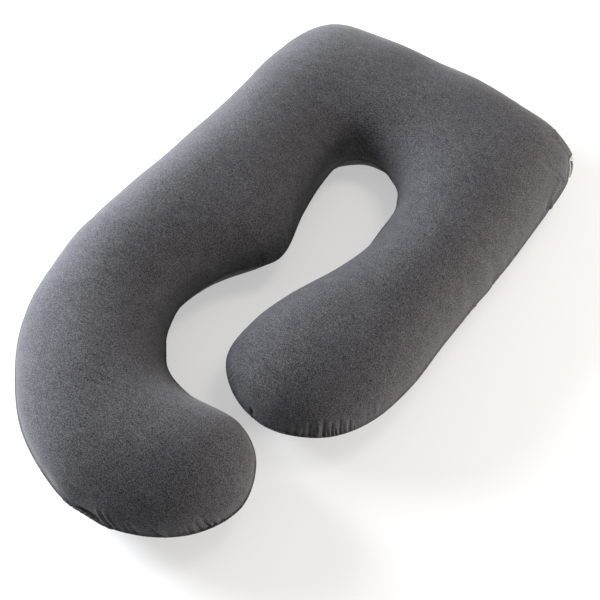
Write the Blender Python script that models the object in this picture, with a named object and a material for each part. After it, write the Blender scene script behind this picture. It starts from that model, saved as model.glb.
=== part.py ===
"""Pregnancy pillow: one long filled cushion bent into a hooked U, with a small folded label in its side seam.

The pillow lies on its back on a flat surface. +X runs across it, +Y towards the closed head end and +Z up.
The origin is on the surface, under the middle of the pillow. All sizes are in metres.
"""

import bpy
import numpy as np

# Driving sizes of the filled pillow
SEAM_HEIGHT = 0.092
CROWN_RISE = 0.114
CROWN_ROUNDNESS = 0.62
BELLY_DROP = 0.145
BELLY_ROUNDNESS = 0.68
LOFT_REACH = 0.070

# Driving sizes of the side label: where it starts and ends along y on the right-hand side, how far it stands
# out of the seam, and how steeply it hangs at its upper and at its lower end
LABEL_FROM = 0.646
LABEL_TO = 0.574
LABEL_WIDTH = 0.011
LABEL_THICK = 0.0015
LABEL_GAP = 0.001
LABEL_DROOP = (10.0, 75.0)

# The side is drawn in where the label is sewn: most at DENT_DEEPEST along y, and not at all at either end
DENT_FROM = 0.650
DENT_DEEPEST = 0.633
DENT_TO = 0.560
DENT_DEPTH = 0.0120

# The side seam, seen from above. Each row is one section across the pillow, from the tip of the
# hooked leg, up that leg, over the head end and down the straight leg to its tip.
# Columns: inner seam x, inner seam y, outer seam x, outer seam y
SECTIONS = (
    (0.310, -0.515, 0.310, -0.515),
    (0.270, -0.425, 0.275, -0.610),
    (0.190, -0.385, 0.185, -0.680),
    (0.100, -0.397, 0.060, -0.710),
    (0.018, -0.383, -0.105, -0.665),
    (-0.030, -0.345, -0.221, -0.581),
    (-0.065, -0.295, -0.314, -0.467),
    (-0.085, -0.225, -0.367, -0.321),
    (-0.062, -0.114, -0.385, -0.170),
    (0.000, -0.015, -0.385, -0.010),
    (-0.035, 0.110, -0.382, 0.140),
    (-0.060, 0.205, -0.385, 0.290),
    (-0.075, 0.275, -0.400, 0.440),
    (-0.068, 0.317, -0.390, 0.555),
    (-0.045, 0.343, -0.355, 0.630),
    (-0.013, 0.353, -0.290, 0.660),
    (0.015, 0.350, -0.130, 0.675),
    (0.038, 0.342, 0.050, 0.686),
    (0.059, 0.328, 0.195, 0.673),
    (0.079, 0.313, 0.295, 0.661),
    (0.096, 0.296, 0.361, 0.621),
    (0.109, 0.275, 0.387, 0.530),
    (0.125, 0.240, 0.395, 0.420),
    (0.132, 0.180, 0.401, 0.290),
    (0.138, 0.100, 0.403, 0.140),
    (0.120, 0.010, 0.405, 0.010),
    (0.086, -0.090, 0.410, -0.100),
    (0.066, -0.190, 0.399, -0.200),
    (0.079, -0.281, 0.363, -0.279),
    (0.145, -0.339, 0.309, -0.328),
    (0.235, -0.355, 0.235, -0.355),
)

# Mesh steps, and the sections between which the ribs are closer together because of the dent at the label
RIB_SPACING = 0.028
FINE_RIB_SPACING = 0.006
FINE_SECTIONS = (19, 21)
STEPS_ACROSS = 16
LABEL_STEPS = 12


def closed_curve(points, steps):
    """A Catmull-Rom curve through a closed ring of points, with steps[k] intervals after point k."""
    pieces = []
    count = len(points)
    for k in range(count):
        before, start, end, after = (points[(k + j) % count] for j in (-1, 0, 1, 2))
        t = np.arange(steps[k])[:, None] / steps[k]
        pieces.append(
            0.5
            * (
                2 * start
                + (end - before) * t
                + (2 * before - 5 * start + 4 * end - after) * t**2
                + (3 * start - before - 3 * end + after) * t**3
            )
        )
    return np.concatenate(pieces)


def dented(curve):
    """The curve of the seam with its side drawn in at the label.

    The points move inwards, square to the curve. The move grows to DENT_DEPTH from DENT_FROM to DENT_DEEPEST
    in a smooth step 3 t^2 - 2 t^3, and fades evenly from there to DENT_TO.
    """
    along = np.roll(curve, -1, 0) - np.roll(curve, 1, 0)
    inward = np.column_stack([along[:, 1], -along[:, 0]]) / np.linalg.norm(along, axis=1)[:, None]
    growing = np.clip((DENT_FROM - curve[:, 1]) / (DENT_FROM - DENT_DEEPEST), 0, 1)
    fading = np.clip((curve[:, 1] - DENT_TO) / (DENT_DEEPEST - DENT_TO), 0, 1)
    share = np.minimum(3 * growing**2 - 2 * growing**3, fading) * (curve[:, 0] > 0)
    return curve + inward * (DENT_DEPTH * share)[:, None]


def seam_ribs():
    """The two ends of every rib across the pillow, on the inner and on the outer seam."""
    table = np.array(SECTIONS)
    inner, outer = table[:, :2], table[:, 2:]
    length = np.linalg.norm(np.diff(outer, axis=0), axis=1)
    spacing = np.full(len(length), RIB_SPACING)
    spacing[slice(*FINE_SECTIONS)] = FINE_RIB_SPACING
    steps = np.maximum(2, np.round(length / spacing)).astype(int)
    ring = np.concatenate([outer, inner[-2:0:-1]])
    curve = closed_curve(ring, np.concatenate([steps, steps[::-1]]))
    curve -= (curve.min(0) + curve.max(0)) / 2
    curve = dented(curve)
    ribs = steps.sum()
    back = np.concatenate([curve[ribs:], curve[:1]])[::-1]
    return back, curve[: ribs + 1]


def plan_grid():
    """Points of the pillow seen from above: one row for each rib, closer together towards the seams."""
    inner, outer = seam_ribs()
    share = (1 - np.cos(np.linspace(0, np.pi, STEPS_ACROSS + 1))) / 2
    return inner[:, None] + (outer - inner)[:, None] * share[None, :, None]


def fullness(plan):
    """How full the pillow is at each point of the grid, from 0 at the seam to nearly 1 far inside.

    The fullness u solves u - LOFT_REACH^2 * laplacian(u) = 1, with u = 0 along the seam: a sheet that is lifted
    evenly and held down at its edge. The grid's cells are halved into linear triangles.
    """
    rows, columns = plan.shape[:2]
    index = np.arange(rows * columns).reshape(rows, columns)
    a, b, c, d = index[:-1, :-1], index[1:, :-1], index[1:, 1:], index[:-1, 1:]
    triangles = np.stack([a, b, c, a, c, d], -1).reshape(-1, 3)
    corner = plan.reshape(-1, 2)[triangles]
    side = np.roll(corner, -1, 1) - np.roll(corner, -2, 1)
    area = 0.5 * np.abs(side[:, 0, 0] * side[:, 1, 1] - side[:, 0, 1] * side[:, 1, 0])
    real = area > 1e-9
    triangles, side, area = triangles[real], side[real], area[real]
    bending = np.einsum("nik,njk->nij", side, side) * (LOFT_REACH**2 / (4 * area[:, None, None]))
    share = np.bincount(triangles.ravel(), np.repeat(area / 3, 3), rows * columns)
    matrix = np.diag(share)
    np.add.at(matrix, (triangles[:, :, None], triangles[:, None, :]), bending)
    inside = index[1:-1, 1:-1].ravel()
    full = np.zeros(rows * columns)
    full[inside] = np.linalg.solve(matrix[np.ix_(inside, inside)], share[inside])
    return full.reshape(rows, columns)


def pillow_heights(plan):
    """Heights of the upper and the lower panel. Both meet at the seam, and the lower one lies flat where it rests."""
    full = fullness(plan)
    upper = SEAM_HEIGHT + CROWN_RISE * full**CROWN_ROUNDNESS
    lower = np.maximum(SEAM_HEIGHT - BELLY_DROP * full**BELLY_ROUNDNESS, 0.0)
    return upper, lower


def pillow_mesh():
    """The closed skin of the pillow: the two panels share the points of the seam, and each tip is one point."""
    plan = plan_grid()
    upper, lower = pillow_heights(plan)
    rows, columns = plan.shape[:2]
    top = np.dstack([plan, upper]).reshape(-1, 3)
    bottom = np.dstack([plan, lower]).reshape(-1, 3)
    number = np.arange(rows * columns).reshape(rows, columns)
    number[0] = number[0, 0]
    number[-1] = number[-1, 0]
    below = number + rows * columns
    below[0], below[-1] = number[0], number[-1]
    below[:, 0], below[:, -1] = number[:, 0], number[:, -1]
    faces = []
    for grid, order in ((number, -1), (below, 1)):
        for i in range(rows - 1):
            for j in range(columns - 1):
                corners = [grid[i, j], grid[i, j + 1], grid[i + 1, j + 1], grid[i + 1, j]]
                corners = list(dict.fromkeys(int(c) for c in corners))
                faces.append(corners[::order])
    points = np.concatenate([top, bottom])
    used = sorted({c for face in faces for c in face})
    renumber = {old: new for new, old in enumerate(used)}
    mesh = bpy.data.meshes.new("pillow")
    mesh.from_pydata(points[used].tolist(), [], [[renumber[c] for c in face] for face in faces])
    mesh.validate()
    return mesh


def label_mesh():
    """The folded label: a thin strip along the seam that hangs lower and lower towards its far end."""
    side = seam_ribs()[1]
    side = side[(side[:, 0] > 0) & (side[:, 1] > 0)]
    side = side[np.argsort(side[:, 1])]
    along_y = np.linspace(LABEL_FROM, LABEL_TO, LABEL_STEPS + 1)
    root = np.column_stack([np.interp(along_y, side[:, 1], side[:, 0]), along_y])
    along = np.gradient(root, axis=0)
    along /= np.linalg.norm(along, axis=1)[:, None]
    away = np.column_stack([-along[:, 1], along[:, 0]])
    droop = np.radians(np.linspace(*LABEL_DROOP, LABEL_STEPS + 1))[:, None]
    outward = np.column_stack([away * np.cos(droop), -np.sin(droop)])
    across = np.column_stack([away * np.sin(droop), np.cos(droop)]) * LABEL_THICK / 2
    start = np.column_stack([root + away * LABEL_GAP, np.full(len(root), SEAM_HEIGHT)]) + outward * LABEL_THICK / 2
    end = start + outward * LABEL_WIDTH
    points = np.stack([start - across, end - across, end + across, start + across], 1).reshape(-1, 3)
    faces = [[3, 2, 1, 0], [4 * LABEL_STEPS + k for k in (0, 1, 2, 3)]]
    for i in range(LABEL_STEPS):
        for k in range(4):
            near, far = 4 * i, 4 * i + 4
            after = (k + 1) % 4
            faces.append([near + k, near + after, far + after, far + k])
    mesh = bpy.data.meshes.new("side_label")
    mesh.from_pydata(points.tolist(), [], faces)
    return mesh


def finish(name, colour, roughness):
    """A plain Principled material."""
    material = bpy.data.materials.new(name)
    material.use_nodes = True
    shader = material.node_tree.nodes["Principled BSDF"]
    shader.inputs["Base Color"].default_value = (*colour, 1.0)
    shader.inputs["Roughness"].default_value = roughness
    return material


def main():
    for old in list(bpy.data.objects):
        bpy.data.objects.remove(old)
    pillow = bpy.data.objects.new("pillow", pillow_mesh())
    bpy.context.scene.collection.objects.link(pillow)
    pillow.data.materials.append(finish("heather jersey", (0.115, 0.115, 0.125), 0.9))
    pillow.data.shade_smooth()
    label = bpy.data.objects.new("side_label", label_mesh())
    bpy.context.scene.collection.objects.link(label)
    label.data.materials.append(finish("woven label", (0.60, 0.60, 0.60), 0.7))


main()
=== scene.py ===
"""Looks of a pregnancy pillow: a heather jersey body pillow bent into a hooked U, with a folded side label.

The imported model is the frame. The pillow's seam is read from its solid, so the soft surface follows it.
"""

import math
from collections import namedtuple

import bpy
import numpy as np
from bpy.props import FloatProperty, FloatVectorProperty, IntProperty, PointerProperty
from bpy.types import Operator, Panel, PropertyGroup
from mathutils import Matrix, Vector


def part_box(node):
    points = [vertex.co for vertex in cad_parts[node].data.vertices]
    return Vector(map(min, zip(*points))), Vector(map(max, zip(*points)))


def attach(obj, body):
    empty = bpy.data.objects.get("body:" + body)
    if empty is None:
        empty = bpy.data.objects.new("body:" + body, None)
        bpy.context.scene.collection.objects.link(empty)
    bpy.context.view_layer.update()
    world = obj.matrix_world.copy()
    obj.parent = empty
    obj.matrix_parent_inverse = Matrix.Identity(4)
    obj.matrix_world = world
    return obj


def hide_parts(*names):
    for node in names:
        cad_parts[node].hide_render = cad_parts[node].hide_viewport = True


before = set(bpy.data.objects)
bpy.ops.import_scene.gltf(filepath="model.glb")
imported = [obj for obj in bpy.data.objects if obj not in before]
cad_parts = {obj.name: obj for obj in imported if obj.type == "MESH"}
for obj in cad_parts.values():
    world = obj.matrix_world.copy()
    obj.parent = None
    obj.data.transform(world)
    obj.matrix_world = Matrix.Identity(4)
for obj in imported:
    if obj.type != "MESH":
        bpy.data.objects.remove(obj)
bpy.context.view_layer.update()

bl_info = {
    "name": "Pregnancy Pillow",
    "version": (1, 0, 0),
    "blender": (4, 5, 0),
    "location": "3D View > Sidebar > Pillow",
    "description": "Builds a filled jersey body pillow, its side label and a studio stage",
    "category": "Add Mesh",
}


def linear(hex_colour):
    """An sRGB hex colour as linear red, green and blue."""
    parts = [int(hex_colour[k:k + 2], 16) / 255 for k in (0, 2, 4)]
    return tuple(c / 12.92 if c <= 0.04045 else ((c + 0.055) / 1.055) ** 2.4 for c in parts)


def metres(name, description, default, high, low=0.0):
    """A length as a property of the panel."""
    return FloatProperty(name=name, description=description, default=default, min=low, max=high,
                         subtype="DISTANCE", unit="LENGTH")


def shade(name, description, hex_colour):
    """A colour as a property of the panel."""
    return FloatVectorProperty(name=name, description=description, default=linear(hex_colour), size=3,
                               min=0, max=1, subtype="COLOR")


def table(columns, *rows):
    """Rows of numbers with named columns."""
    return tuple(map(namedtuple("Row", columns)._make, rows))


class PillowShape(PropertyGroup):
    """Sizes of the filled pillow."""

    crown_rise: metres("Crown rise", "Height of the fullest crown above the seam", 0.110, 0.2)
    crown_roundness: FloatProperty(
        name="Crown roundness", description="Power of the fullness on top: lower gives steeper flanks",
        default=0.64, min=0.3, max=1.0)
    belly_drop: metres(
        "Belly drop", "Depth the underside would reach below the seam if nothing held it up", 0.180, 0.3)
    belly_roundness: FloatProperty(
        name="Belly roundness", description="Power of the fullness underneath", default=1.0, min=0.3, max=1.0)
    loft_reach: metres("Loft reach", "Distance from the seam over which the filling rises", 0.070, 0.2, 0.02)
    pressure: FloatProperty(
        name="Filling pressure", description="Pressure of the filling on the cover while the cloth settles",
        default=4.0, min=0.0, max=20.0)
    settle_frames: IntProperty(
        name="Settling frames", description="Frames of cloth simulation", default=20, min=1, max=60)
    settle_cap: metres("Settling cap", "Furthest that the cloth may move a point", 0.012, 0.05)


class SeamDetail(PropertyGroup):
    """Sizes of the seam that joins the two panels, of the closing beside it and of the filling's lumps."""

    edge_stands: metres("Edge stands out", "How far the turned seam stands out as a fine edge", 0.0015, 0.01)
    edge_width: metres("Edge width", "Distance over which that edge fades", 0.0022, 0.01, 0.0005)
    hollow_above: metres("Hollow above", "How far the upper panel draws in just above the edge", 0.0016, 0.01)
    hollow_width: metres(
        "Hollow width", "Distance from the edge to the deepest part of the hollow", 0.008, 0.03, 0.001)
    inset_below: metres("Inset below", "How far the lower panel starts inside the edge", 0.0030, 0.01)
    inset_width: metres(
        "Inset width", "Distance over which the lower panel comes out again", 0.006, 0.03, 0.001)
    lip_stands: metres("Closing lip", "How far the rolled lip of the closing stands out", 0.0036, 0.01)
    lip_width: metres("Closing lip width", "Width of that lip, from its stitched line", 0.012, 0.03, 0.002)
    stitch_depth: metres("Stitched line", "Depth of the closing's stitched line", 0.0032, 0.01)
    stitch_width: metres("Stitched line width", "Half width of that line", 0.0018, 0.01, 0.0005)
    lump_height: metres("Lumps", "Height of the soft unevenness of the filling", 0.0012, 0.01)


class JerseyLook(PropertyGroup):
    """Yarns of the heather jersey."""

    dark_yarn: shade("Dark yarn", "Charcoal fibres of the heather yarn", "131314")
    light_yarn: shade("Light yarn", "Pale fibres of the heather yarn", "575659")
    fleck_width: metres("Fleck width", "Width of one drawn fleck of pale or dark fibre", 0.0015, 0.01, 0.0002)
    fleck_length: metres(
        "Fleck length", "Length of one drawn fleck, along the knitted rows", 0.0030, 0.05, 0.0005)
    row_width: metres("Row width", "Width of the faint streaks that knitted rows leave", 0.0030, 0.05, 0.0005)
    row_length: metres("Row streak length", "Length of those streaks", 0.030, 0.5, 0.001)
    row_slope: FloatProperty(
        name="Row slope", description="How steeply the knitted rows climb across the middle of the pillow",
        default=0.08, min=-2.0, max=2.0)
    row_bow: FloatProperty(
        name="Row bow", description="How much the knitted rows bend across the pillow, as curvature in 1/m",
        default=1.0, min=-5.0, max=5.0)


class LabelShape(PropertyGroup):
    """The label: a satin strip folded in half and sewn into the side seam."""

    width: metres("Width", "How far the folded label stands out of the seam", 0.0108, 0.05, 0.002)
    cloth: metres("Cloth thickness", "Thickness of the woven strip", 0.0004, 0.002, 0.0001)
    fold_gap: metres("Fold gap", "Space between the two layers", 0.0004, 0.002)
    curl: FloatProperty(
        name="Curl", description="How much further the fold turns down than the seam side",
        default=math.radians(8), subtype="ANGLE")
    border: shade("Border", "Pale woven border", "a6a6a4")
    # Painted shade: the colour of a dark patch on the label that stands for the shaded inside of its fold
    field: shade("Field", "Dark plain field", "262527")


class StageLook(PropertyGroup):
    """Floor, light and camera."""

    floor_colour: shade("Floor colour", "Matt translucent floor", "bcbcbb")
    floor_glow: FloatProperty(
        name="Floor glow", description="Light that comes through the floor from below",
        default=0.45, min=0.0, max=2.0)
    light_power: FloatProperty(
        name="Light power", description="Multiplies the power of every softbox",
        default=1.0, min=0.0, max=50.0)
    sky: FloatProperty(
        name="Sky", description="Brightness of the even light from all round", default=0.40, min=0.0, max=5.0)
    camera_azimuth: FloatProperty(
        name="Camera azimuth", description="Direction the camera looks from, 0 being the open end",
        default=math.radians(37.98), subtype="ANGLE")
    camera_elevation: FloatProperty(
        name="Camera elevation", description="Height of the camera's view above the floor",
        default=math.radians(54.19), subtype="ANGLE")
    camera_distance: metres("Camera distance", "Distance from the camera to its target", 2.310, 20.0)
    camera_target: FloatVectorProperty(
        name="Camera target", description="Point at the middle of the picture",
        default=(0.102, -0.067, 0.090), size=3, subtype="XYZ", unit="LENGTH")
    lens: FloatProperty(
        name="Lens", description="Focal length in millimetres on the square sensor", default=66.1)


# Rows and columns of the grids: a coarse one for the fullness, one that the cloth settles on, and a fine one,
# whose columns crowd by the seams
FULLNESS_ROWS, FULLNESS_COLUMNS = 150, 20
CLOTH_ROWS, CLOTH_COLUMNS = 340, 26
FINE_ROWS, FINE_COLUMNS = 1150, 70
EDGE_CROWDING = 0.75

# Stretches of the outer seam where the rows of a grid are closer together, by a factor. Places here and below
# are lengths along the seam from the hooked leg's tip, outer side first.
ZONE = "start end closeness"
CLOTH_ZONES = table(ZONE, (-0.1, 0.3, 1.6), (2.59, 2.76, 4), (3.45, 4, 1.6))
FINE_ZONES = table(ZONE, (-0.1, 0.34, 4), (2.5, 2.83, 3.5), (3.48, 4, 4.5))
ZONE_FADE = 0.012

# Steps along the outer seam that measure its length, steps between two of the ring's points in the close seam
# line, batches that the search for the closest seam point is cut into, and the triangles too thin to count
MEASURING_STEPS = 4000
SEAM_STEPS = 10
BATCHES = 100
THINNEST_TRIANGLE = 1e-10

# Sections between a tip and the one from whose middle the tip's normal points away
TIP_SECTIONS = 3

# The cover as cloth
CLOTH_SETTINGS = {
    "quality": 6,
    "mass": 0.3,
    "tension_stiffness": 30,
    "compression_stiffness": 15,
    "shear_stiffness": 10,
    "bending_stiffness": 1.0,
}

# Stretches of the seam where the cloth is gathered all over. The slant is how far along the seam a fold moves
# for each metre that it runs inwards.
GATHERS = table(
    "start end spacing reach depth slant",
    (0.03, 0.2, 0.015, 0.024, 0.0008, 0.4),
    (0.2, 0.33, 0.013, 0.03, 0.0009, 1.2),
    (5.79, 5.849, 0.017, 0.022, 0.0008, 0),
    (3.52, 3.715, 0.0085, 0.022, 0.0008, 0.1),
    (3.79, 3.88, 0.009, 0.022, 0.0006, -0.1),
    (4.985, 5.075, 0.03, 0.034, 0.0012, 0.2),
    (2.85, 3.5, 0.065, 0.03, 0.0009, 0),
    (0.35, 2.45, 0.11, 0.045, 0.0009, 0),
    (3.95, 4.95, 0.09, 0.026, 0.0006, 0),
    (5.4, 5.78, 0.06, 0.026, 0.0007, 0),
)

# How far a fold may differ from what its stretch states. Its place and half width are shares of the spacing,
# its reach and depth are factors, and its slant is an amount. It grows from half its depth over FOLD_START,
# and is left out FOLD_SPAN half widths and reaches away.
FOLD_PLACE = (0.15, 0.85)
FOLD_HALF_WIDTH = (0.26, 0.42)
FOLD_REACH = (0.5, 1.3)
FOLD_DEPTH = (0.45, 1.15)
FOLD_SLANT = (-0.25, 0.25)
FOLD_START = 0.003
FOLD_SPAN = (3, 2.5)
UPPER_SEED, LOWER_SEED = 11, 12

# Single creases of the upper panel, each from one place and distance from the seam to another.
# The height is negative for a trough.
CREASES = table(
    "place distance end_place end_distance half_width height",
    (3.664, -0.006, 3.667, 0.032, 0.005, -0.0018),
    (3.647, -0.008, 3.649, 0.036, 0.004, -0.0024),
    (3.634, -0.006, 3.632, 0.024, 0.003, -0.0016),
    (3.621, -0.012, 3.62, 0.038, 0.0034, -0.004),
    (3.611, -0.01, 3.6135, 0.026, 0.0026, -0.0026),
    (3.6025, 0, 3.6015, 0.04, 0.003, 0.0022),
    (3.594, -0.012, 3.59, 0.042, 0.0036, -0.0046),
    (3.585, -0.008, 3.584, 0.024, 0.0024, -0.0022),
    (3.577, -0.01, 3.574, 0.034, 0.0026, -0.003),
    (3.569, -0.006, 3.568, 0.022, 0.0024, -0.0018),
    (3.561, -0.01, 3.556, 0.04, 0.003, -0.0032),
    (3.5525, -0.006, 3.551, 0.028, 0.0028, -0.0016),
    (3.541, -0.008, 3.537, 0.034, 0.0036, -0.0022),
    (3.745, -0.006, 3.749, 0.022, 0.005, -0.004),
    (3.797, 0.006, 3.796, 0.034, 0.0026, -0.0014),
    (3.806, 0.006, 3.804, 0.03, 0.0026, -0.0012),
    (3.8145, 0.006, 3.813, 0.042, 0.0026, -0.0018),
    (3.823, 0.006, 3.821, 0.034, 0.0024, -0.0013),
    (3.8355, 0.006, 3.835, 0.04, 0.0032, -0.002),
    (3.8455, 0.008, 3.846, 0.028, 0.0026, -0.0012),
    (3.856, 0.01, 3.857, 0.032, 0.003, -0.0011),
    (0.31, 0.002, 0.255, 0.006, 0.008, -0.005),
    (0.268, 0.036, 0.244, 0.001, 0.003, 0.0024),
    (0.259, 0.036, 0.229, -0.004, 0.003, -0.0026),
    (0.251, 0.04, 0.219, 0.001, 0.003, 0.0026),
    (0.242, 0.036, 0.212, -0.004, 0.0028, -0.0028),
    (0.233, 0.032, 0.21, 0.001, 0.0028, 0.0022),
    (0.221, 0.034, 0.206, 0.001, 0.003, 0.0024),
    (0.211, 0.03, 0.196, -0.006, 0.0028, -0.0026),
    (0.196, 0.028, 0.181, -0.004, 0.004, -0.0024),
    (0.184, 0.028, 0.173, 0.001, 0.004, 0.002),
    (0.162, 0.03, 0.138, -0.002, 0.005, -0.0028),
    (0.149, 0.03, 0.125, -0.002, 0.004, 0.0022),
    (0.092, 0.028, 0.08, -0.006, 0.0034, -0.002),
    (0.074, 0.032, 0.06, -0.006, 0.0034, -0.003),
    (0.061, 0.044, 0.043, -0.008, 0.0036, -0.0042),
    (0.055, 0.036, 0.038, -0.006, 0.0028, 0.0022),
    (0.05, 0.034, 0.034, -0.006, 0.003, -0.0036),
    (0.031, 0.03, 0.017, -0.004, 0.003, -0.002),
    (5.35, 0.003, 5.348, 0.026, 0.0026, -0.0016),
    (5.361, 0.003, 5.359, 0.028, 0.0026, -0.0016),
    (5.068, 0.006, 5.073, 0.036, 0.004, -0.0048),
    (5.058, 0.008, 5.061, 0.03, 0.0045, 0.0016),
    (5.004, 0.002, 4.999, 0.03, 0.0034, -0.0034),
    (5.012, 0.004, 5.008, 0.026, 0.0035, 0.0015),
    (2.75, 0.018, 2.81, 0.008, 0.0035, -0.0026),
    (3.463, 0.036, 3.471, 0.004, 0.0032, -0.002),
    (3.473, 0.036, 3.48, 0.006, 0.0035, 0.0016),
    (3.497, 0.032, 3.502, 0.006, 0.0035, -0.0014),
    (3.402, 0.04, 3.411, 0.008, 0.0035, -0.0012),
)

# No crease leads further than this along the seam or away from it, and the power with which its ends taper
CREASE_REACH = (0.08, 0.10)
CREASE_TAPER = 0.7

# Broad dents and swellings of the sides, by the place along the seam and the distance from it where they are
# fullest, and how far they reach both ways. The height is negative for a dent. Under is 1 for one that
# goes on below the seam.
SWELLINGS = table(
    "place distance width reach height under",
    (5.43, 0.04, 0.1, 0.05, -0.0036, 1),
    (0.29, 0, 0.04, 0.04, -0.006, 1),
    (2.816, 0, 0.01, 0.02, -0.003, 1),
    (3.05, 0.02, 0.018, 0.05, -0.002, 1),
    (3.085, 0.02, 0.02, 0.05, 0.0016, 1),
    (3.146, 0, 0.018, 0.05, -0.002, 1),
    (4.65, 0.018, 0.11, 0.022, 0.008, 0),
)

# Broad mounds of the crown where the filling has gathered, by their place seen from above, and the distance
# over which they rise from the seam
MOUNDS = table(
    "x y reach height",
    (0.19, -0.49, 0.1, 0.012),
    (-0.335, -0.22, 0.08, 0.006),
    (-0.334, -0.05, 0.09, 0.0045),
    (-0.333, 0.12, 0.09, 0.005),
    (-0.34, 0.28, 0.08, 0.006),
    (-0.351, 0.4, 0.07, 0.0055),
    (-0.29, 0.57, 0.08, 0.003),
    (-0.13, 0.62, 0.09, 0.0034),
    (0.05, 0.627, 0.08, 0.0035),
    (0.17, 0.623, 0.07, 0.005),
    (0.27, 0.622, 0.06, 0.005),
)
MOUND_FADE = 0.030

# Waves of the lumps, by their radians for each metre along x and y and their phase, the distance over which
# they rise from the seam, and the height over which the floor presses them and the lower folds out
LUMP_WAVES = table(
    "x y phase",
    (19, 8, 0.4),
    (-9, 21, 1.9),
    (27, -17, 3.1),
    (5, 34, 4.4),
    (-31, -12, 5.2),
)
LUMP_FADE = 0.040
RESTING_FADE = 0.030

# Stretches of the seam that sag below its usual height, and the distance over which a sag starts and ends
DIPS = table(
    "start end drop",
    (-0.1, 0.34, 0.006),
    (0.4, 0.62, 0.004),
    (2.96, 3.42, 0.007),
    (3.46, 3.8, 0.009),
    (4.52, 4.78, 0.028),
    (4.78, 5.06, 0.007),
    (5.06, 5.33, 0.012),
)
DIP_FADE = 0.050

# The stitched line of the closing on the upper panel, from the head's side round its corner, the steps from
# each of its points to the next, how far away it shapes the cover, and how soon it fades past its ends
CLOSING = table(
    "x y z",
    (0.25, 0.645, 0.15),
    (0.272, 0.639, 0.15),
    (0.297, 0.63, 0.149),
    (0.316, 0.623, 0.142),
    (0.327, 0.622, 0.133),
    (0.336, 0.62, 0.125),
    (0.345, 0.615, 0.112),
    (0.355, 0.59, 0.106),
    (0.366, 0.562, 0.108),
    (0.377, 0.535, 0.112),
    (0.38, 0.51, 0.113),
    (0.384, 0.49, 0.107),
    (0.387, 0.466, 0.094),
)
CLOSING_STEPS = 10
CLOSING_REACH = 0.03
CLOSING_FADE = 0.004

# The jersey's pattern: shares of the rows and of the mottle in the mix, the mottle's size, and the mixes at
# which all the yarn is dark and all of it is pale
ROW_SHARE, MOTTLE_SHARE = 0.10, 0.08
MOTTLE_WIDTH, MOTTLE_LENGTH = 0.022, 0.030
ALL_DARK, ALL_PALE = 0.39, 0.63

# Softboxes round the pillow: azimuth from +X and elevation in degrees, power in watts, sides in metres. Then
# their distance, the size and depth of the floor, and the camera's sensor in millimetres.
SOFTBOXES = table(
    "name azimuth elevation power width height colour",
    ("left_low", 185, 8, 425, 1.6, 1.1, "f1f5ff"),
    ("left_high", 197, 25, 219, 1.6, 1.1, "f1f5ff"),
    ("right_low", 27, 8, 203, 1.6, 1.1, "fff8f1"),
    ("right_top", 60, 65, 24, 1.1, 1.1, "fff8f1"),
)
SOFTBOX_DISTANCE = 3.5
FLOOR_HALF_WIDTH = 15.0
FLOOR_BELOW = 0.0005
SENSOR_WIDTH = 36

# Steps along the label and round its fold, the space between the seam and the label, how far it starts inside
# the upper end of its solid, and how far inside the solid's near side its seam may run
LABEL_STEPS, FOLD_STEPS = 48, 9
LABEL_GAP = 0.0005
LABEL_INSET = 0.0085
LABEL_SEAM_INSIDE = 0.02

# The label's painted shade, a dark patch that stands for the shaded inside of its fold, as shares of the
# strip: its middle and half its size along and across the strip, how much sooner it comes for each share of
# the way to the fold, and how soft its edge is. Then how far apart the ribs are drawn, and the radians that a
# wave texture has for each unit at scale 1.
PAINTED_SHADE_ALONG = (0.64, 0.36)
PAINTED_SHADE_ACROSS = (0.5, 0.37)
PAINTED_SHADE_SLANT = 0.42
PAINTED_SHADE_EDGE = 0.01
RIB_SPACING = 0.0012
WAVE_RADIANS = 20

# How steeply the label hangs, by the share of its length from its upper end
DROOPS = table("share degrees", (0, 24), (0.12, 20), (0.3, 22), (0.5, 36), (0.7, 50), (1, 72))

# How far the notch at the label reaches into the pillow, and how far below the label it ends
NOTCH_REACH = 0.018
NOTCH_BELOW = 0.0145


def read(items, key, kind=float, size=3):
    """One attribute of all of a mesh's items, with a row for each item."""
    values = np.empty(len(items) * size, kind)
    items.foreach_get(key, values)
    return values.reshape(-1, size)


def lengths(points):
    """The length along a row of points up to each of them."""
    return np.concatenate([[0], np.cumsum(np.linalg.norm(np.diff(points, axis=0), axis=1))])


def unit(vectors):
    """The vectors at length 1."""
    return vectors / np.maximum(np.linalg.norm(vectors, axis=-1, keepdims=True), 1e-12)


def seam_ring():
    """The seam as the pillow's solid has it: its height, and its points from the hooked tip round to it.

    The furthest point of the solid along y lies on the seam. Each edge of an upper triangle that has both
    ends at its height is a step along the ring. The ring starts at the point about which it folds onto itself
    with the shortest ribs, and turns outwards first.
    """
    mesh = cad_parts["pillow"].data
    mesh.calc_loop_triangles()
    points = read(mesh.vertices, "co")
    height = points[points[:, 1].argmax(), 2]
    places, number = np.unique(np.round(points, 5), axis=0, return_inverse=True)
    triangles = number.ravel()[read(mesh.loop_triangles, "vertices", int)]
    near = 0.0001
    at_seam = np.abs(places[:, 2] - height) < near
    upper = places[triangles, 2].max(1) > height + near
    edges = np.concatenate([np.roll(triangles[upper], -k, 1)[:, :2] for k in range(3)])
    following = dict(edges[at_seam[edges].all(1)])
    walk = [next(iter(following))]
    while following[walk[-1]] != walk[0]:
        walk.append(following[walk[-1]])
    ring = places[walk, :2]
    half = len(ring) // 2
    ribs = [np.linalg.norm(np.roll(ring, -k, 0)[1:half] - np.roll(ring, -k, 0)[:half:-1], axis=1).sum()
            for k in range(half)]
    ring = np.roll(ring, -int(np.argmin(ribs)), 0)
    if ring[0, 1] > ring[half, 1]:
        ring = np.roll(ring, -half, 0)
    if ring[1:half, 0].min() > ring[half:, 0].min():
        ring = np.roll(ring[::-1], 1, 0)
    return height, ring


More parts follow.
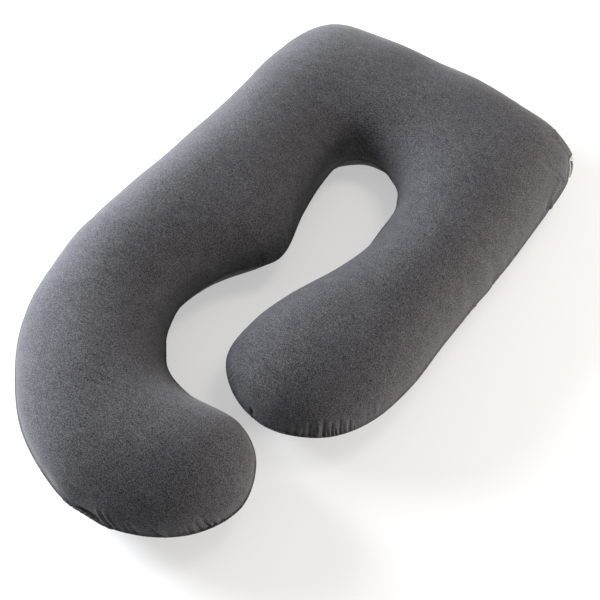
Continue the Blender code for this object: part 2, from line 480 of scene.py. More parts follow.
def seam_line(height, ring):
    """Close points of the seam, the length along it up to each, and its direction there.

    A dip lowers it by drop * (tanh((s - start) / DIP_FADE) - tanh((s - end) / DIP_FADE)) / 2,
    where s is the length.
    """
    flat = on_curve(ring, np.arange(len(ring) * SEAM_STEPS) / SEAM_STEPS)
    length = lengths(np.concatenate([flat, flat[:1]]))
    along = unit(np.roll(flat, -1, 0) - np.roll(flat, 1, 0))
    drop = np.zeros(len(flat))
    for dip in DIPS:
        for lap in (0, length[-1]):
            start, end = (np.tanh((length[:-1] - lap - edge) / DIP_FADE) for edge in (dip.start, dip.end))
            drop += dip.drop * (start - end) / 2
    return np.column_stack([flat, height - drop]), length, np.column_stack([along, 0 * drop])


def from_seam(points, line):
    """Each point's place along the seam and its straight distance from it, in metres.

    The closest of the seam's points is found first. The place then moves along the seam's direction there, by
    the point's offset in that direction.
    """
    seam, length, along = line
    size = (seam**2).sum(1)
    flat = points.reshape(-1, 3)
    closest = np.concatenate([(size - 2 * part @ seam.T).argmin(1) for part in np.array_split(flat, BATCHES)])
    offset = ((flat - seam[closest]) * along[closest]).sum(1)
    foot = seam[closest] + offset[:, None] * along[closest]
    shape = points.shape[:-1]
    return (length[closest] + offset).reshape(shape), np.linalg.norm(flat - foot, axis=1).reshape(shape)


def bell(x, width):
    """The bell curve exp(-(x / width)^2)."""
    return np.exp(-(x / width) ** 2)


def beside(place, middle, total):
    """How far each place along the closed seam is from a middle, going the short way round."""
    return (place - middle + total / 2) % total - total / 2


def folds(place, distance, total, seed):
    """Relief of the gathers on one panel: each fold is a trough between two low ridges.

    Across a fold the relief is -depth * (1 - 2 x^2) * exp(-x^2), where x is the distance from its middle over
    its half width. Inwards it fades as exp(-(distance / reach)^2), and by the seam it is halved, as
    1 - exp(-distance / FOLD_START) / 2. A fold's sizes and place vary evenly at random.
    """
    random = np.random.default_rng(seed)
    relief = np.zeros(place.shape)
    for stretch in GATHERS:
        count = max(1, round((stretch.end - stretch.start) / stretch.spacing))
        middles = stretch.start + (np.arange(count) + random.uniform(*FOLD_PLACE, count)) * stretch.spacing
        for middle in middles:
            reach = stretch.reach * random.uniform(*FOLD_REACH)
            depth = stretch.depth * random.uniform(*FOLD_DEPTH)
            slant = stretch.slant + random.uniform(*FOLD_SLANT)
            half_width = stretch.spacing * random.uniform(*FOLD_HALF_WIDTH)
            across = beside(place, middle, total) - slant * distance
            near = (np.abs(across) < FOLD_SPAN[0] * half_width) & (distance < FOLD_SPAN[1] * reach)
            x = across[near] / half_width
            fade = bell(distance[near], reach) * (1 - np.exp(-distance[near] / FOLD_START) / 2)
            relief[near] -= depth * (1 - 2 * x**2) * bell(x, 1) * fade
    return relief


def creases(place, distance, total):
    """Relief of the single creases, each a soft ridge or trough along a straight stretch of the cover.

    The relief is height * exp(-(r / half_width)^2) * (4 t (1 - t))^CREASE_TAPER, with r the distance from the
    stretch and t the share of the way along it. Places and distances serve as flat coordinates.
    """
    moved = np.zeros(place.shape)
    for crease in CREASES:
        run = np.array((crease.end_place - crease.place, crease.end_distance - crease.distance))
        x = beside(place, crease.place, total)
        near = (np.abs(x) < CREASE_REACH[0]) & (distance < CREASE_REACH[1])
        offset = np.stack([x[near], distance[near] - crease.distance], -1)
        t = np.clip(offset @ run / (run @ run), 0, 1)
        r = np.linalg.norm(offset - t[:, None] * run, axis=1)
        moved[near] += crease.height * bell(r, crease.half_width) * (4 * t * (1 - t)) ** CREASE_TAPER
    return moved


def swellings(place, distance, total, below):
    """Relief of the broad dents and swellings: height * exp(-(x / width)^2 - (y / reach)^2).

    Along the seam x, and away from it y, are the distances from the place where the swelling is fullest.
    """
    moved = np.zeros(place.shape)
    for swelling in SWELLINGS:
        x = beside(place, swelling.place, total)
        y = distance - swelling.distance
        share = np.where(below, swelling.under, 1)
        moved += swelling.height * share * bell(x, swelling.width) * bell(y, swelling.reach)
    return moved


def mounds(points, distance):
    """Relief of the crown's mounds: height * exp(-(r / reach)^2), r being the distance seen from above.

    Towards the seam it fades as 1 - exp(-(distance / MOUND_FADE)^2).
    """
    risen = sum(m.height * bell(points[..., 0] - m.x, m.reach) * bell(points[..., 1] - m.y, m.reach)
                for m in MOUNDS)
    return risen * (1 - bell(distance, MOUND_FADE))


def closing(detail, points):
    """Relief of the closing: a stitched groove, and a rolled lip along its outer side.

    With x the distance from the stitched line, positive outwards and downwards, the groove is
    -stitch_depth * exp(-(x / stitch_width)^2) and the lip lip_stands * sin(pi x / lip_width)^2. Past the ends
    of the line both fade as exp(-(overshoot / CLOSING_FADE)^2).
    """
    place = np.arange((len(CLOSING) - 1) * CLOSING_STEPS) / CLOSING_STEPS
    line = on_curve(np.array(CLOSING), place, closed=False)
    along = unit(np.gradient(line, axis=0))
    outer = np.cross(along, (0, 0, 1)) - (0, 0, 1)
    low, high = line.min(0) - CLOSING_REACH, line.max(0) + CLOSING_REACH
    near = (points > low).all(-1) & (points < high).all(-1)
    closest = np.linalg.norm(points[near][:, None] - line, axis=2).argmin(1)
    offset = points[near] - line[closest]
    overshoot = (offset * along[closest]).sum(1)
    overshoot[(closest > 0) & (closest < len(line) - 1)] = 0
    x = np.linalg.norm(offset, axis=1) * np.sign((offset * outer[closest]).sum(1))
    lip = detail.lip_stands * np.sin(np.pi * np.clip(x / detail.lip_width, 0, 1)) ** 2
    groove = detail.stitch_depth * bell(x, detail.stitch_width)
    moved = np.zeros(points.shape[:-1])
    moved[near] = (lip - groove) * bell(overshoot, CLOSING_FADE)
    return moved


def lumps(points, height):
    """Soft unevenness of the filling: half the height times the sum of sine waves in several directions."""
    waves = sum(np.sin(w.x * points[..., 0] + w.y * points[..., 1] + w.phase) for w in LUMP_WAVES)
    return height / 2 * waves


def dressed(detail, surface, line):
    """The fine surface with swellings, mounds and lumps, and then with the relief of seam, folds and creases.

    At the seam and above it the turned edge stands out by edge_stands * exp(-d / edge_width), d being the
    distance from the seam, and a hollow of hollow_above * x * exp(1 - x), with x = d / hollow_width, follows
    it. Below, the panel starts inside the edge by inset_below * exp(-d / inset_width). Lumps rise from the
    seam as 1 - exp(-d / LUMP_FADE). They and the lower folds fade towards the floor, which presses them out,
    as 1 - exp(-(z / RESTING_FADE)^2). Every point moves along its normal.
    """
    place, distance = from_seam(surface, line)
    total = line[1][-1]
    column = np.arange(surface.shape[1])
    above = (column > 0) & (column < FINE_COLUMNS)
    below = column > FINE_COLUMNS
    moved = swellings(place, distance, total, below) + above * mounds(surface, distance)
    raised = 1 - bell(surface[..., 2], RESTING_FADE)
    moved += lumps(surface, detail.lump_height) * (1 - np.exp(-distance / LUMP_FADE)) * raised
    surface = surface + moved[..., None] * outward(surface)
    edge = detail.edge_stands * np.exp(-distance / detail.edge_width)
    deep = distance / detail.hollow_width
    inset = detail.inset_below * np.exp(-distance / detail.inset_width)
    moved = np.where(below, -inset, edge - detail.hollow_above * deep * np.exp(1 - deep))
    moved += above * (folds(place, distance, total, UPPER_SEED) + creases(place, distance, total))
    moved += below * folds(place, distance, total, LOWER_SEED) * raised
    moved += above * closing(detail, surface)
    return surface + moved[..., None] * outward(surface)


def outward(surface):
    """Unit normals of a grid of closed sections: the cross product of its steps along and round.

    At a tip the normal points away from the middle of a section near it.
    """
    along = np.gradient(surface, axis=0)
    around = np.roll(surface, -1, 1) - np.roll(surface, 1, 1)
    normal = np.cross(along, around)
    normal[0] = surface[0] - surface[TIP_SECTIONS].mean(0)
    normal[-1] = surface[-1] - surface[-1 - TIP_SECTIONS].mean(0)
    return unit(normal)


def on_curve(points, place, closed=True):
    """Reads the Catmull-Rom curve through a row of points at places counted in points.

    A closed row starts over after its end, and an open one keeps its end points. The weights are those of the
    four points round a place, t being its share of the middle interval.
    """
    first = np.floor(place).astype(int)
    t = (place - first).reshape(place.shape + (1,) * (points.ndim - 1))
    weights = ((-t + 2 * t**2 - t**3) / 2, (2 - 5 * t**2 + 3 * t**3) / 2, (t + 4 * t**2 - 3 * t**3) / 2,
               (t**3 - t**2) / 2)
    last = len(points) - 1
    around = [(first + k) % len(points) if closed else np.clip(first + k, 0, last) for k in (-1, 0, 1, 2)]
    return sum(weight * points[index] for weight, index in zip(weights, around))


def row_places(ring, rows, zones):
    """Places along the ring from tip to tip, closer together in the zones.

    The density of rows along the outer side is 1, and rises smoothly to a zone's closeness inside it. The
    count of rows up to a place is the integral of that density, and the places are read off at even steps.
    """
    half = len(ring) // 2
    place = np.linspace(0, half, MEASURING_STEPS + 1)
    length = lengths(on_curve(ring, place))
    density = np.ones(len(length))
    for zone in zones:
        inside = np.tanh((length - zone.start) / ZONE_FADE) - np.tanh((length - zone.end) / ZONE_FADE)
        density += (zone.closeness - 1) * inside / 2
    count = np.concatenate([[0], np.cumsum((density[1:] + density[:-1]) / 2 * np.diff(length))])
    return np.interp(np.linspace(0, count[-1], rows), count, place)


def without_notch(ring):
    """The ring with a smooth bridge over the notch at the label.

    The bridge is the cubic curve that leaves the ring's last point before the notch in its own direction, and
    meets the first point after it in the same way.
    """
    low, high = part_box("side_label")
    drawn_in = (ring[:, 0] > low[0] - NOTCH_REACH) & (ring[:, 1] > low[1] - NOTCH_BELOW)
    first, last = np.flatnonzero(drawn_in & (ring[:, 1] < high[1]))[[0, -1]]
    stretch = ring[first - 1:last + 2]
    t = lengths(stretch)[:, None]
    t /= t[-1]
    span = np.linalg.norm(stretch[-1] - stretch[0])
    before, after = span * unit(np.stack([stretch[0] - ring[first - 2], ring[last + 2] - stretch[-1]]))
    smooth = ring.copy()
    smooth[first - 1:last + 2] = (
        stretch[0] * (2 * t**3 - 3 * t**2 + 1) + before * (t**3 - 2 * t**2 + t)
        + stretch[-1] * (3 * t**2 - 2 * t**3) + after * (t**3 - t**2))
    return smooth


def plan_grid(ring, places, share):
    """Points seen from above: each row runs from the inner to the outer seam, and share says how far across.

    The rows are straight between the seams without the notch. It fades inwards as exp(-(d / NOTCH_REACH)^2).
    """
    smooth = without_notch(ring)
    inner, outer = on_curve(smooth, -places), on_curve(smooth, places)
    notch = on_curve(ring, places) - outer
    d = np.linalg.norm(outer - inner, axis=1)[:, None] * (1 - share)
    plan = inner[:, None] + (outer - inner)[:, None] * share[None, :, None]
    return plan + notch[:, None] * bell(d, NOTCH_REACH)[..., None]


def across(columns):
    """Shares of the way across the pillow, closer together near the seams: half a cosine wave."""
    return (1 - np.cos(np.linspace(0, np.pi, columns + 1))) / 2


def fine_columns():
    """Places of the fine columns, counted in panels from the inner seam and closer together by both seams.

    With x the evenly spaced places, they are x - EDGE_CROWDING * sin(2 pi x) / (2 pi).
    """
    x = np.arange(2 * FINE_COLUMNS) / FINE_COLUMNS
    return x - EDGE_CROWDING * np.sin(2 * np.pi * x) / (2 * np.pi)


def fullness(plan, reach):
    """How full the pillow is at each point of a plan grid, from 0 at the seam to nearly 1 far inside.

    The fullness u solves u - reach^2 * laplacian(u) = 1, with u = 0 along the seam: a sheet that is lifted
    evenly and held down at its edge. The grid's cells are halved into linear triangles.
    """
    rows, columns = plan.shape[:2]
    index = np.arange(rows * columns).reshape(rows, columns)
    a, b, c, d = index[:-1, :-1], index[1:, :-1], index[1:, 1:], index[:-1, 1:]
    triangles = np.stack([a, b, c, a, c, d], -1).reshape(-1, 3)
    corner = plan.reshape(-1, 2)[triangles]
    side = np.roll(corner, -1, 1) - np.roll(corner, -2, 1)
    area = 0.5 * np.abs(side[:, 0, 0] * side[:, 1, 1] - side[:, 0, 1] * side[:, 1, 0])
    real = area > THINNEST_TRIANGLE
    triangles, side, area = triangles[real], side[real], area[real]
    bending = np.einsum("nik,njk->nij", side, side) * (reach**2 / (4 * area[:, None, None]))
    share = np.bincount(triangles.ravel(), np.repeat(area / 3, 3), rows * columns)
    matrix = np.diag(share)
    np.add.at(matrix, (triangles[:, :, None], triangles[:, None, :]), bending)
    inside = index[1:-1, 1:-1].ravel()
    full = np.zeros(rows * columns)
    full[inside] = np.linalg.solve(matrix[np.ix_(inside, inside)], share[inside])
    return full.reshape(rows, columns)


def resample(sections, rows, columns):
    """Reads a grid of closed sections at other rows and columns, by smooth curves both ways.

    A section's columns close on themselves. Before the first row come the next two turned round, because a
    tip is round, and the same goes for the end.
    """
    count = sections.shape[1]
    turned = (-np.arange(count) + count // 2) % count
    padded = np.concatenate([sections[2:0:-1, turned], sections, sections[-2:-4:-1, turned]])
    along = on_curve(padded, rows + 2, closed=False)
    return on_curve(along.swapaxes(0, 1), columns).swapaxes(0, 1)


def base_sections(shape, height, ring, line, places, columns):
    """Closed sections of the filled pillow before its cloth settles.

    With base the seam's own height, the upper half rises from it by (top - base) * fullness^p, p being
    crown_roundness * base / height. The lower half falls to base * (1 - belly_drop / height *
    fullness^belly_roundness), and stops at the floor.
    """
    coarse = row_places(ring, FULLNESS_ROWS, CLOTH_ZONES[::2])
    full = fullness(plan_grid(without_notch(ring), coarse, across(FULLNESS_COLUMNS)), shape.loft_reach)
    full = full[:, list(range(FULLNESS_COLUMNS + 1)) + list(range(FULLNESS_COLUMNS - 1, 0, -1))]
    rows = np.interp(places, coarse, np.arange(FULLNESS_ROWS))
    steps = np.linspace(0, FULLNESS_COLUMNS, columns + 1)
    full = np.clip(resample(full[..., None], rows, steps)[..., 0], 0, 1)
    full[0], full[-1] = 0, 0
    share = across(columns)
    plan = plan_grid(ring, places, share)
    seam = line[0][:, 2]
    inner, outer = (np.interp(side % len(ring), np.arange(len(seam)) / SEAM_STEPS, seam)[:, None]
                    for side in (-places, places))
    base = inner + (outer - inner) * share
    upper = base + (height + shape.crown_rise - base) * full ** (shape.crown_roundness * base / height)
    lower = base * (1 - np.minimum(1, shape.belly_drop / height * full**shape.belly_roundness))
    top = np.dstack([plan, upper])
    bottom = np.dstack([plan, lower])[:, -2:0:-1]
    return np.concatenate([top, bottom], 1)


def sections_mesh(name, sections):
    """A closed mesh through a grid of closed sections, with one point at each tip and faces pointing out."""
    rows, columns = sections.shape[:2]
    points = np.concatenate([sections[:1, 0], sections[1:-1].reshape(-1, 3), sections[-1:, 0]])
    number = 1 + np.arange((rows - 2) * columns).reshape(rows - 2, columns)
    after = np.roll(number, -1, 1)
    quads = np.stack([number[:-1], number[1:], after[1:], after[:-1]], -1).reshape(-1, 4)
    start = np.stack([np.zeros(columns, int), number[0], after[0]], -1)
    end = np.stack([np.full(columns, len(points) - 1), after[-1], number[-1]], -1)
    mesh = bpy.data.meshes.new(name)
    mesh.from_pydata(points, [], quads.tolist() + start.tolist() + end.tolist())
    mesh.shade_smooth()
    return mesh


def sections_of(obj, rows, columns):
    """The grid of sections read back from an object's settled mesh."""
    settled = obj.evaluated_get(bpy.context.evaluated_depsgraph_get())
    points = read(settled.data.vertices, "co")
    tips = [np.repeat(points[k:k + 1], columns, 0)[None] for k in (0, len(points) - 1)]
    return np.concatenate([tips[0], points[1:-1].reshape(rows - 2, columns, 3), tips[1]])


def settle(shape, sections):
    """Lets the cover settle as cloth under the filling's pressure, its seam held and its movement capped."""
    rows, columns = sections.shape[:2]
    obj = bpy.data.objects.new("settling_cover", sections_mesh("settling_cover", sections))
    bpy.context.scene.collection.objects.link(obj)
    held = obj.vertex_groups.new(name="seam")
    ring = 1 + np.arange((rows - 2) * columns).reshape(rows - 2, columns)[:, [0, columns // 2]]
    held.add([0, len(obj.data.vertices) - 1] + ring.ravel().tolist(), 1.0, "ADD")
    cloth = obj.modifiers.new("settle", "CLOTH")
    cloth.settings.use_pressure = True
    cloth.settings.uniform_pressure_force = shape.pressure
    cloth.settings.vertex_group_mass = "seam"
    cloth.settings.effector_weights.gravity = 0
    for name, value in CLOTH_SETTINGS.items():
        setattr(cloth.settings, name, value)
    cloth.point_cache.frame_start = 1
    cloth.point_cache.frame_end = shape.settle_frames
    scene = bpy.context.scene
    for number in range(1, shape.settle_frames + 1):
        scene.frame_set(number)
    settled = sections_of(obj, rows, columns)
    bpy.data.objects.remove(obj)
    scene.frame_set(1)
    move = settled - sections
    far = np.linalg.norm(move, axis=-1, keepdims=True)
    return sections + move * np.minimum(1, shape.settle_cap / np.maximum(far, 1e-9))


def add_node(tree, kind, settings=None, links=None, **inputs):
    """Adds a node, sets its properties and inputs, and links its inputs to other nodes' outputs."""
    node = tree.nodes.new(kind)
    for name, value in (settings or {}).items():
        setattr(node, name, value)
    for name, value in inputs.items():
        node.inputs[name.replace("_", " ")].default_value = value
    for socket, source in (links or {}).items():
        tree.links.new(source, node.inputs[socket])
    return node


def new_material(name):
    """A material with an empty tree but for its output."""
    material = bpy.data.materials.new(name)
    material.use_nodes = True
    tree = material.node_tree
    tree.nodes.clear()
    return material, tree


def heather_jersey(look):
    """Heather jersey: a weft knit of mixed dark and pale fibres, brushed soft.

    It gives the eye a matt charcoal grey with fine flecks drawn out along the knitted rows, faint row streaks
    and a soft light edge from its fuzz. Real fibres are about 0.02 mm wide and the rows 0.8 mm apart, so the
    flecks and the rows are drawn coarser.
    """
    material, tree = new_material("brushed heather cotton jersey")
    x, y, z = add_node(tree, "ShaderNodeSeparateXYZ", links={
        "Vector": add_node(tree, "ShaderNodeTexCoord").outputs["Object"]}).outputs
    climb = add_node(tree, "ShaderNodeMath", {"operation": "MULTIPLY_ADD"}, {0: x})
    climb.inputs[1].default_value = look.row_bow / 2
    climb.inputs[2].default_value = -look.row_slope
    row = add_node(tree, "ShaderNodeMath", {"operation": "MULTIPLY_ADD"}, {0: x, 1: climb.outputs[0], 2: y})
    place = add_node(tree, "ShaderNodeCombineXYZ", links={"X": x, "Y": row.outputs[0], "Z": z}).outputs[0]

    def streaks(width, length, detail, roughness):
        squeezed = add_node(tree, "ShaderNodeMapping", links={"Vector": place}, Scale=(width / length, 1, 1))
        return add_node(tree, "ShaderNodeTexNoise", links={"Vector": squeezed.outputs["Vector"]},
                        Scale=1 / width, Detail=detail, Roughness=roughness).outputs["Fac"]

    flecks = streaks(look.fleck_width, look.fleck_length, 2.0, 0.7)
    rows = streaks(look.row_width, look.row_length, 1.0, 0.5)
    mottle = streaks(MOTTLE_WIDTH, MOTTLE_LENGTH, 2.0, 0.5)
    mixed = flecks
    for pattern, share in ((rows, ROW_SHARE), (mottle, MOTTLE_SHARE)):
        mixed = add_node(tree, "ShaderNodeMix", {"data_type": "FLOAT"}, {"A": mixed, "B": pattern},
                         Factor=share).outputs["Result"]
    ramp = add_node(tree, "ShaderNodeValToRGB", links={"Fac": mixed})
    for stop, position, yarn in zip(ramp.color_ramp.elements, (ALL_DARK, ALL_PALE),
                                    (look.dark_yarn, look.light_yarn)):
        stop.position = position
        stop.color = (*yarn, 1)
    bump = add_node(tree, "ShaderNodeBump", links={"Height": flecks}, Strength=0.45, Distance=0.0008)
    surface = add_node(tree, "ShaderNodeBsdfPrincipled",
                       links={"Base Color": ramp.outputs["Color"], "Normal": bump.outputs["Normal"]},
                       Roughness=0.95, Sheen_Weight=0.12, Sheen_Roughness=0.5, Specular_IOR_Level=0.15)
    add_node(tree, "ShaderNodeOutputMaterial", links={"Surface": surface.outputs["BSDF"]})
    return material


def woven_satin(look, length):
    """Woven satin label: damask woven polyester, folded and heat set.

    It gives the eye a smooth strip with a slight silky gloss: a pale border along the seam and at the upper
    end, and over the rest a dark patch of painted shade, which stands for the shaded inside of the fold. The
    weave's ribs are 0.25 mm apart and are drawn coarser, at RIB_SPACING. The pattern follows the strip's own
    UV map, u along the seam and v across from one sewn edge round the fold to the other.
    """
    material, tree = new_material("woven satin label")
    place = add_node(tree, "ShaderNodeUVMap", {"uv_map": "strip"}).outputs["UV"]
    split = add_node(tree, "ShaderNodeSeparateXYZ", links={"Vector": place})

    def band(socket, middle, half):
        offset = add_node(tree, "ShaderNodeMath", {"operation": "SUBTRACT"}, {0: socket})
        offset.inputs[1].default_value = middle
        size = add_node(tree, "ShaderNodeMath", {"operation": "ABSOLUTE"}, {0: offset.outputs[0]})
        inside = add_node(tree, "ShaderNodeMapRange", {"interpolation_type": "SMOOTHSTEP"},
                          {"Value": size.outputs[0]}, From_Min=half - PAINTED_SHADE_EDGE, From_Max=half + PAINTED_SHADE_EDGE)
        inside.inputs["To Min"].default_value = 1
        inside.inputs["To Max"].default_value = 0
        return inside.outputs["Result"]

    fold = add_node(tree, "ShaderNodeMath", {"operation": "PINGPONG"}, {0: split.outputs["Y"]})
    fold.inputs[1].default_value = 0.5
    slanted = add_node(tree, "ShaderNodeMath", {"operation": "MULTIPLY_ADD"},
                       {0: fold.outputs[0], 2: split.outputs["X"]})
    slanted.inputs[1].default_value = PAINTED_SHADE_SLANT
    # Mask of the painted shade: a dark patch for the shaded inside of the fold, away from the seam and the
    # upper end
    field = add_node(tree, "ShaderNodeMath", {"operation": "MULTIPLY"},
                     {0: band(slanted.outputs[0], *PAINTED_SHADE_ALONG), 1: band(split.outputs["Y"], *PAINTED_SHADE_ACROSS)})
    colour = add_node(tree, "ShaderNodeMix", {"data_type": "RGBA"}, {"Factor": field.outputs[0]})
    colour.inputs[6].default_value = (*look.border, 1)
    colour.inputs[7].default_value = (*look.field, 1)
    ribs = add_node(tree, "ShaderNodeTexWave", links={"Vector": place},
                    Scale=2 * math.pi * length / RIB_SPACING / WAVE_RADIANS, Distortion=0.6)
    bump = add_node(tree, "ShaderNodeBump", links={"Height": ribs.outputs["Fac"]}, Strength=0.25,
                    Distance=0.0003)
    surface = add_node(tree, "ShaderNodeBsdfPrincipled",
                       links={"Base Color": colour.outputs[2], "Normal": bump.outputs["Normal"]},
                       Roughness=0.45, Sheen_Weight=0.1)
    add_node(tree, "ShaderNodeOutputMaterial", links={"Surface": surface.outputs["BSDF"]})
    return material


def lit_acrylic(look):
    """Matt white acrylic, lit evenly from below. It gives the eye a pale floor whose shadows stay light."""
    material, tree = new_material("matt white acrylic lit from below")
    surface = add_node(tree, "ShaderNodeBsdfPrincipled", Base_Color=(*look.floor_colour, 1), Roughness=0.9,
                       Emission_Color=(1, 1, 1, 1), Emission_Strength=look.floor_glow)
    add_node(tree, "ShaderNodeOutputMaterial", links={"Surface": surface.outputs["BSDF"]})
    return material


def add_object(name, mesh, material):
    """Links a new object at the origin with its material."""
    obj = bpy.data.objects.new(name, mesh)
    bpy.context.scene.collection.objects.link(obj)
    obj.data.materials.append(material)
    return obj


class PILLOW_OT_cover(Operator):
    """Builds the filled pillow's jersey cover."""

    bl_idname = "pillow.cover"
    bl_label = "Filled cover"

    def execute(self, context):
        shape = context.scene.pillow_shape
        height, ring = seam_ring()
        line = seam_line(height, ring)
        places = row_places(ring, CLOTH_ROWS, CLOTH_ZONES)
        sections = base_sections(shape, height, ring, line, places, CLOTH_COLUMNS)
        sections = settle(shape, sections)
        fine = row_places(ring, FINE_ROWS, FINE_ZONES)
        rows = np.interp(fine, places, np.arange(CLOTH_ROWS))
        surface = resample(sections, rows, fine_columns() * CLOTH_COLUMNS)
        surface[0], surface[-1] = sections[0, 0], sections[-1, 0]
        surface = dressed(context.scene.seam_detail, surface, line)
        surface[..., 2] = np.maximum(surface[..., 2], 0)
        cover = add_object("pillow_cover", sections_mesh("pillow_cover", surface),
                           heather_jersey(context.scene.jersey_look))
        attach(cover, "root")
        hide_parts("pillow")
        return {"FINISHED"}


def label_profile(shape):
    """The closed profile across the folded strip: its points outwards and upwards, and shares of the strip.

    The fold is a half circle between two straight layers, and the profile is that line moved half the cloth's
    thickness to either side.
    """
    radius = (shape.fold_gap + shape.cloth) / 2
    straight = np.linspace(0, shape.width - radius, FOLD_STEPS)
    turn = np.linspace(np.pi / 2, -np.pi / 2, FOLD_STEPS)[1:-1]
    out = np.concatenate([straight, shape.width - radius + radius * np.cos(turn), straight[::-1]])
    up = np.concatenate([0 * straight + radius, radius * np.sin(turn), 0 * straight - radius])
    line = np.column_stack([out, up])
    strip = lengths(line)
    side = unit(np.gradient(line, axis=0))[:, ::-1] * (-1, 1) * shape.cloth / 2
    out, up = np.concatenate([line + side, (line - side)[::-1]]).T
    return out, up, np.concatenate([strip, strip[::-1]]) / strip[-1]


def label_points(shape, height, ring):
    """Profiles of the folded label along the seam, the shares across its strip and its length.

    A point is its seam point, moved away from the pillow by out * cos(droop) + up * sin(droop) and upwards by
    up * cos(droop) - out * sin(droop). The droop follows DROOPS, and curls further in proportion to out.
    """
    low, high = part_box("side_label")
    seam, length, along = seam_line(height, ring)
    sewn = (seam[:, 0] > low[0] - LABEL_SEAM_INSIDE) & (seam[:, 1] > low[1])
    span = np.flatnonzero(sewn & (seam[:, 1] < high[1] - LABEL_INSET))
    places = np.linspace(span[0], span[-1], LABEL_STEPS + 1)
    root, direction = (np.stack([np.interp(places, np.arange(len(seam)), line[:, k]) for k in range(3)], -1)
                       for line in (seam, along))
    away = np.cross(direction, (0, 0, 1))
    away *= np.sign(away[0, 0])
    out, up, strip = label_profile(shape)
    share = np.linspace(0, 1, LABEL_STEPS + 1)[:, None]
    droop = np.radians(np.interp(share, [d.share for d in DROOPS], [d.degrees for d in DROOPS]))
    droop = droop + shape.curl * out / shape.width
    flat = out * np.cos(droop) + up * np.sin(droop) + LABEL_GAP
    rise = up * np.cos(droop) - out * np.sin(droop)
    points = root[:, None] + away[:, None] * flat[..., None] + np.array((0, 0, 1)) * rise[..., None]
    return points, strip, lengths(root)[-1]


def label_mesh(points, strip):
    """The label's closed mesh, with u along the strip and v across it in its UV map."""
    rows, columns = points.shape[:2]
    number = np.arange(rows * columns).reshape(rows, columns)
    after = np.roll(number, -1, 1)
    quads = np.stack([number[:-1], after[:-1], after[1:], number[1:]], -1).reshape(-1, 4)
    side = np.arange(columns // 2 - 1)
    cap = np.stack([side, side + 1, columns - 2 - side, columns - 1 - side], -1)
    caps = [number[0][cap[:, ::-1]], number[-1][cap]]
    mesh = bpy.data.meshes.new("woven_label")
    mesh.from_pydata(points.reshape(-1, 3), [], np.concatenate([quads, *caps]).tolist())
    place = np.column_stack([np.repeat(np.linspace(0, 1, rows), columns), np.tile(strip, rows)])
    corners = read(mesh.loops, "vertex_index", int, 1)
    mesh.uv_layers.new(name="strip").data.foreach_set("uv", place[corners].ravel())
    mesh.shade_smooth()
    return mesh


class PILLOW_OT_label(Operator):
    """Builds the folded side label."""

    bl_idname = "pillow.label"
    bl_label = "Side label"

    def execute(self, context):
        shape = context.scene.label_shape
        points, strip, length = label_points(shape, *seam_ring())
        label = add_object("woven_label", label_mesh(points, strip), woven_satin(shape, length))
        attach(label, "root")
        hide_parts("side_label")
        return {"FINISHED"}


def aim(obj, target, azimuth, elevation, distance):
    """Puts a lamp or camera at a distance from its target, in a direction from it, and turns it there."""
    level = math.cos(elevation)
    facing = Vector((math.cos(azimuth) * level, math.sin(azimuth) * level, math.sin(elevation)))
    obj.location = target + facing * distance
    obj.rotation_euler = facing.to_track_quat("Z", "Y").to_euler()
    bpy.context.scene.collection.objects.link(obj)


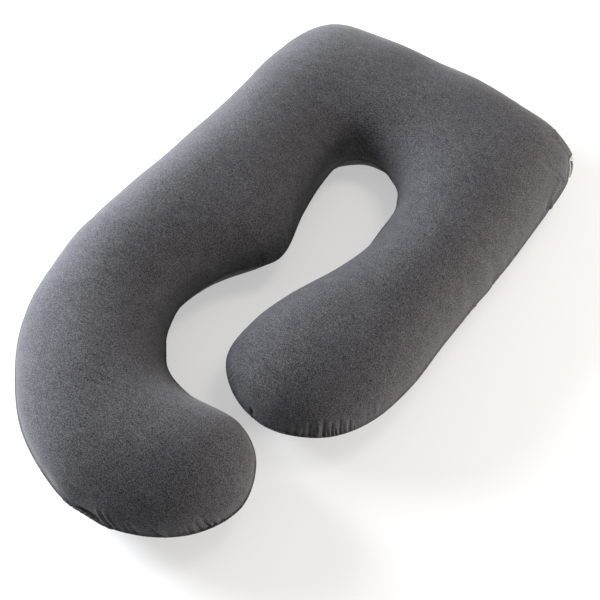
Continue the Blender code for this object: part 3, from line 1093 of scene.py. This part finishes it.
class PILLOW_OT_stage(Operator):
    """Sets the floor, the lights and the camera."""

    bl_idname = "pillow.stage"
    bl_label = "Stage"

    def execute(self, context):
        look = context.scene.stage_look
        mesh = bpy.data.meshes.new("floor")
        corners = [(x * FLOOR_HALF_WIDTH, y * FLOOR_HALF_WIDTH, -FLOOR_BELOW)
                   for x, y in ((-1, -1), (1, -1), (1, 1), (-1, 1))]
        mesh.from_pydata(corners, [], [(0, 1, 2, 3)])
        floor = add_object("floor", mesh, lit_acrylic(look))
        for box in SOFTBOXES:
            light = bpy.data.lights.new(box.name, "AREA")
            light.energy = box.power * look.light_power
            light.shape = "RECTANGLE"
            light.size, light.size_y = box.width, box.height
            light.color = linear(box.colour)
            lamp = bpy.data.objects.new(box.name, light)
            lamp.visible_camera = False
            aim(lamp, Vector(), math.radians(box.azimuth), math.radians(box.elevation), SOFTBOX_DISTANCE)
        world = bpy.data.worlds.new("studio")
        world.use_nodes = True
        background = world.node_tree.nodes["Background"]
        background.inputs["Color"].default_value = (1, 1, 1, 1)
        background.inputs["Strength"].default_value = look.sky
        context.scene.world = world
        camera = bpy.data.objects.new("camera", bpy.data.cameras.new("camera"))
        camera.data.lens = look.lens
        camera.data.sensor_width = SENSOR_WIDTH
        aim(camera, Vector(look.camera_target), look.camera_azimuth - math.pi / 2, look.camera_elevation,
            look.camera_distance)
        context.scene.camera = camera
        context.scene.view_settings.view_transform = "Standard"
        return {"FINISHED"}


class PILLOW_PT_panel(Panel):
    """Lists the pillow's pieces."""

    bl_idname = "PILLOW_PT_panel"
    bl_label = "Pregnancy pillow"
    bl_space_type = "VIEW_3D"
    bl_region_type = "UI"
    bl_category = "Pillow"

    def draw(self, context):
        for operator, names in STEPS:
            self.layout.operator(operator.bl_idname)
            for name in names:
                group = getattr(context.scene, name)
                for key in group.__annotations__:
                    self.layout.prop(group, key)


STEPS = (
    (PILLOW_OT_cover, ("pillow_shape", "seam_detail", "jersey_look")),
    (PILLOW_OT_label, ("label_shape",)),
    (PILLOW_OT_stage, ("stage_look",)),
)
GROUPS = {
    "pillow_shape": PillowShape,
    "seam_detail": SeamDetail,
    "jersey_look": JerseyLook,
    "label_shape": LabelShape,
    "stage_look": StageLook,
}
CLASSES = (*GROUPS.values(), PILLOW_OT_cover, PILLOW_OT_label, PILLOW_OT_stage, PILLOW_PT_panel)


def register():
    """Adds the classes and the scene's property groups."""
    for cls in CLASSES:
        bpy.utils.register_class(cls)
    for name, group in GROUPS.items():
        setattr(bpy.types.Scene, name, PointerProperty(type=group))


def unregister():
    """Takes them away again."""
    for name in GROUPS:
        delattr(bpy.types.Scene, name)
    for cls in reversed(CLASSES):
        bpy.utils.unregister_class(cls)


def main():
    """Builds every piece and the stage."""
    register()
    bpy.ops.pillow.cover()
    bpy.ops.pillow.label()
    bpy.ops.pillow.stage()


if __name__ == "__main__":
    main()
